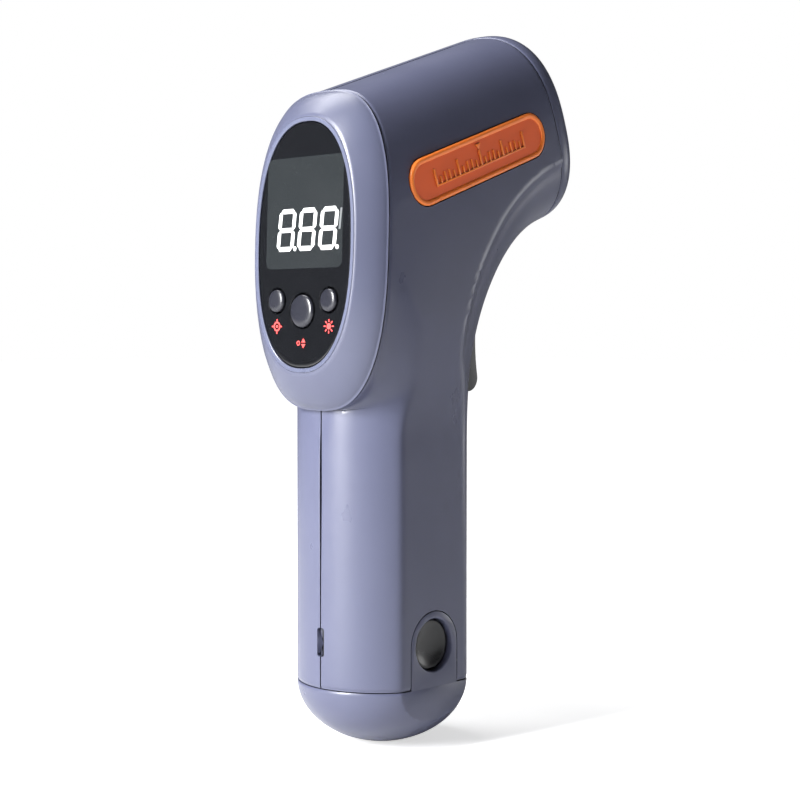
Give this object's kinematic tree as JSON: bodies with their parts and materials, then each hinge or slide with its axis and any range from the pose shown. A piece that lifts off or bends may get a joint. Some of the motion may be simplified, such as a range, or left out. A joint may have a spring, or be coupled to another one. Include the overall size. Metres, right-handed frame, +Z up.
{
  "type": "infrared thermometer",
  "caption": "Pistol-shaped non-contact thermometer: upright grip with trigger, tilted barrel with infrared lens, oval display end with keys, pull-off battery cap.",
  "frame": {"origin": "centre of the outer box at its lowest point, the battery cap's dome", "axes": "+Z up along the grip, +Y the way the barrel points, X across, symmetric"},
  "size_m": [0.0382, 0.0719, 0.1521],
  "materials": {
    "case_plastic": "matte slate-grey moulded ABS, fine spark texture",
    "bezel_plastic": "satin slate-grey moulded ABS",
    "window_black": "gloss black tinted acrylic window",
    "lcd_glass": "dark liquid crystal glass",
    "black_plastic": "matte black plastic",
    "white_diffuser": "milky light guide",
    "board_green": "solder-masked fibreglass board",
    "mat_rubber": "soft silicone",
    "key_plastic": "satin dark grey key",
    "trigger_plastic": "matte black trigger",
    "spring_steel": "bright spring steel",
    "pin_steel": "ground steel",
    "screw_steel": "black-coated steel screws",
    "lens_germanium": "dark coated infrared lens",
    "sensor_can": "nickel-plated can",
    "brass": "turned brass",
    "laser_glass": "dark red cover disc",
    "badge_orange": "satin orange moulded insert",
    "cell_wrap": "glossy cell sleeve",
    "contact_metal": "nickel-plated contact",
    "button_rubber": "dark satin button"
  },
  "bodies": {
    "housing": {"left_shell": "case_plastic", "right_shell": "case_plastic", "display_bezel": "bezel_plastic", "display_window": "window_black", "lcd_panel": "lcd_glass", "lcd_frame": "black_plastic", "backlight_plate": "white_diffuser", "display_board": "board_green", "keypad_mat": "mat_rubber", "main_board": "board_green", "trigger_switch": "black_plastic", "buzzer": "black_plastic", "trigger_pin": "pin_steel", "trigger_spring": "spring_steel", "nose_ring": "case_plastic", "nose_plate": "black_plastic", "lens_tube": "black_plastic", "infrared_lens": "lens_germanium", "lens_retainer": "black_plastic", "thermopile_sensor": "sensor_can", "sensor_board": "board_green", "laser_module": "brass", "laser_window": "laser_glass", "badge_left": "badge_orange", "badge_right": "badge_orange", "case_screws": "screw_steel", "battery_tray": "black_plastic", "battery_cells": "cell_wrap", "cell_contacts": "contact_metal", "lanyard_bar": "pin_steel"},
    "trigger": {"trigger": "trigger_plastic"},
    "key_laser": {"key_laser": "key_plastic"},
    "key_unit": {"key_unit": "key_plastic"},
    "key_light": {"key_light": "key_plastic"},
    "battery_cap": {"battery_cap": "case_plastic", "cap_contact": "contact_metal", "release_spring_left": "spring_steel", "release_spring_right": "spring_steel"},
    "release_button_left": {"release_button_left": "button_rubber"},
    "release_button_right": {"release_button_right": "button_rubber"}
  },
  "joints": [
    {"name": "trigger_pull", "type": "hinge", "parent": "housing", "child": "trigger", "pos_m": [0, 0.0068, 0.098], "axis": [-1, 0, 0], "range_deg": [0, 7], "stiffness_Nm_per_rad": 0.02, "springref_deg": -11.46, "deforming": ["trigger_spring"]},
    {"name": "laser_key_press", "type": "slide", "parent": "housing", "child": "key_laser", "axis": [0, 0.9996, -0.0297], "range_m": [0, 0.0006], "stiffness_N_per_m": 300, "springref_m": -0.0005},
    {"name": "unit_key_press", "type": "slide", "parent": "housing", "child": "key_unit", "axis": [0, 0.9996, -0.0297], "range_m": [0, 0.0006], "stiffness_N_per_m": 300, "springref_m": -0.0005},
    {"name": "light_key_press", "type": "slide", "parent": "housing", "child": "key_light", "axis": [0, 0.9996, -0.0297], "range_m": [0, 0.0006], "stiffness_N_per_m": 300, "springref_m": -0.0005},
    {"name": "cap_slide", "type": "slide", "parent": "housing", "child": "battery_cap", "axis": [0, 0, -1], "range_m": [0, 0.018]},
    {"name": "release_left_press", "type": "slide", "parent": "battery_cap", "child": "release_button_left", "axis": [1, 0, 0], "range_m": [0, 0.0009], "stiffness_N_per_m": 400, "springref_m": -0.0005, "deforming": ["release_spring_left"]},
    {"name": "release_right_press", "type": "slide", "parent": "battery_cap", "child": "release_button_right", "axis": [-1, 0, 0], "range_m": [0, 0.0009], "stiffness_N_per_m": 400, "springref_m": -0.0005, "deforming": ["release_spring_right"]}
  ]
}
